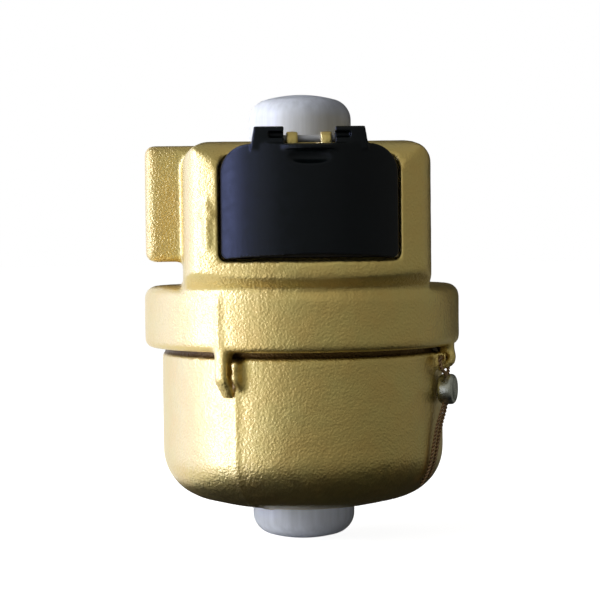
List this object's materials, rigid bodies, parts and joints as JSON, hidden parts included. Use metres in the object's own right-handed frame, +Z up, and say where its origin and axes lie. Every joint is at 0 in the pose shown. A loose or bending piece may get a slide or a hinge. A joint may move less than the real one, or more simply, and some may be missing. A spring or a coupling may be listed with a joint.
{
  "type": "water meter",
  "caption": "Rotary-piston water meter: brass head and bowl in line with the pipe, hinged black lid over the register, thread caps and a wire seal.",
  "frame": {"origin": "centre of the inlet thread's end face, on the pipe axis", "axes": "+Z up the pipe with the flow, +X to the right of the lid, -Y the way the lid faces"},
  "size_m": [0.0886, 0.0929, 0.125],
  "materials": {
    "brass": "rough sand-cast brass",
    "black_plastic": "fine-grained black moulding",
    "cap_plastic": "milky soft polyethylene",
    "white_plastic": "plain moulding",
    "grey_plastic": "filled moulding",
    "case_plastic": "plain moulding",
    "red_plastic": "plain moulding",
    "dial": "white printed sheet",
    "window": "clear",
    "rubber": "plain",
    "steel": "drawn stainless",
    "magnet": "sintered ferrite",
    "lead": "pressed lead, dull with bright edges",
    "copper": "twisted copper wire"
  },
  "bodies": {
    "meter_body": {"head_casting": "brass", "bowl_casting": "brass", "body_seal": "rubber", "inlet_strainer": "white_plastic", "measuring_chamber": "white_plastic", "chamber_cover": "white_plastic", "divider_plate": "steel", "chamber_seal": "rubber", "drive_bearing": "white_plastic", "register_case": "case_plastic", "gear_frame": "white_plastic", "drum_shaft": "steel", "dial_plate": "dial", "window_gasket": "rubber", "register_window": "window", "register_bezel": "black_plastic", "hinge_pin": "steel", "lead_seal": "lead", "seal_wire": "copper"},
    "lid_body": {"lid": "black_plastic"},
    "inlet_cap_body": {"inlet_cap": "cap_plastic"},
    "outlet_cap_body": {"outlet_cap": "cap_plastic"},
    "drive": {"drive_spindle": "white_plastic", "drive_magnet": "magnet"},
    "piston": {"rotary_piston": "grey_plastic"},
    "follower": {"follower_spindle": "white_plastic", "follower_magnet": "magnet"},
    "idler": {"idler_gear": "white_plastic"},
    "worm": {"worm_shaft": "white_plastic"},
    "drum_1_body": {"drum_1": "red_plastic", "worm_wheel": "white_plastic"},
    "drum_2_body": {"drum_2": "red_plastic"},
    "drum_3_body": {"drum_3": "red_plastic"},
    "drum_4_body": {"drum_4": "black_plastic"},
    "drum_5_body": {"drum_5": "black_plastic"},
    "drum_6_body": {"drum_6": "black_plastic"},
    "drum_7_body": {"drum_7": "black_plastic"},
    "drum_8_body": {"drum_8": "black_plastic"}
  },
  "joints": [
    {"name": "lid_hinge", "type": "hinge", "parent": "meter_body", "child": "lid_body", "pos_m": [0, -0.041, 0.1056], "axis": [-1, 0, 0], "range_deg": [0, 110]},
    {"name": "inlet_cap_slide", "type": "slide", "parent": "meter_body", "child": "inlet_cap_body", "axis": [0, 0, -1], "range_m": [0, 0.045]},
    {"name": "outlet_cap_slide", "type": "slide", "parent": "meter_body", "child": "outlet_cap_body", "axis": [0, 0, 1], "range_m": [0, 0.045]},
    {"name": "drive_spin", "type": "hinge", "parent": "meter_body", "child": "drive", "pos_m": [0, 0, 0.062], "axis": [0, 0, 1], "continuous": true},
    {"name": "piston_turn", "type": "hinge", "parent": "drive", "child": "piston", "pos_m": [0.0042, 0, 0.04], "axis": [0, 0, 1], "continuous": true},
    {"name": "follower_spin", "type": "hinge", "parent": "meter_body", "child": "follower", "pos_m": [0, 0, 0.08], "axis": [0, 0, 1], "continuous": true},
    {"name": "idler_spin", "type": "hinge", "parent": "meter_body", "child": "idler", "pos_m": [0.00315, -0.00991, 0.082], "axis": [0, 0, 1], "continuous": true},
    {"name": "worm_spin", "type": "hinge", "parent": "meter_body", "child": "worm", "pos_m": [0.0135, -0.01598, 0.09], "axis": [0, 0, 1], "continuous": true},
    {"name": "drum_1_spin", "type": "hinge", "parent": "meter_body", "child": "drum_1_body", "pos_m": [0, -0.02558, 0.091], "axis": [1, 0, 0], "continuous": true},
    {"name": "drum_2_spin", "type": "hinge", "parent": "meter_body", "child": "drum_2_body", "pos_m": [0, -0.02558, 0.091], "axis": [1, 0, 0], "continuous": true},
    {"name": "drum_3_spin", "type": "hinge", "parent": "meter_body", "child": "drum_3_body", "pos_m": [0, -0.02558, 0.091], "axis": [1, 0, 0], "continuous": true},
    {"name": "drum_4_spin", "type": "hinge", "parent": "meter_body", "child": "drum_4_body", "pos_m": [0, -0.02558, 0.091], "axis": [1, 0, 0], "continuous": true},
    {"name": "drum_5_spin", "type": "hinge", "parent": "meter_body", "child": "drum_5_body", "pos_m": [0, -0.02558, 0.091], "axis": [1, 0, 0], "continuous": true},
    {"name": "drum_6_spin", "type": "hinge", "parent": "meter_body", "child": "drum_6_body", "pos_m": [0, -0.02558, 0.091], "axis": [1, 0, 0], "continuous": true},
    {"name": "drum_7_spin", "type": "hinge", "parent": "meter_body", "child": "drum_7_body", "pos_m": [0, -0.02558, 0.091], "axis": [1, 0, 0], "continuous": true},
    {"name": "drum_8_spin", "type": "hinge", "parent": "meter_body", "child": "drum_8_body", "pos_m": [0, -0.02558, 0.091], "axis": [1, 0, 0], "continuous": true}
  ],
  "couplings": [
    {"joint": "piston_turn", "follows": "drive_spin", "ratio": -1},
    {"joint": "follower_spin", "follows": "drive_spin", "ratio": 1},
    {"joint": "idler_spin", "follows": "drive_spin", "ratio": -0.625},
    {"joint": "worm_spin", "follows": "drive_spin", "ratio": 0.71429},
    {"joint": "drum_1_spin", "follows": "drive_spin", "ratio": -0.044643},
    {"joint": "drum_2_spin", "follows": "drive_spin", "ratio": -0.0044643},
    {"joint": "drum_3_spin", "follows": "drive_spin", "ratio": -0.00044643},
    {"joint": "drum_4_spin", "follows": "drive_spin", "ratio": -0.000044643},
    {"joint": "drum_5_spin", "follows": "drive_spin", "ratio": -0.0000044643},
    {"joint": "drum_6_spin", "follows": "drive_spin", "ratio": -0.00000044643},
    {"joint": "drum_7_spin", "follows": "drive_spin", "ratio": -0.000000044643},
    {"joint": "drum_8_spin", "follows": "drive_spin", "ratio": -0.0000000044643}
  ]
}
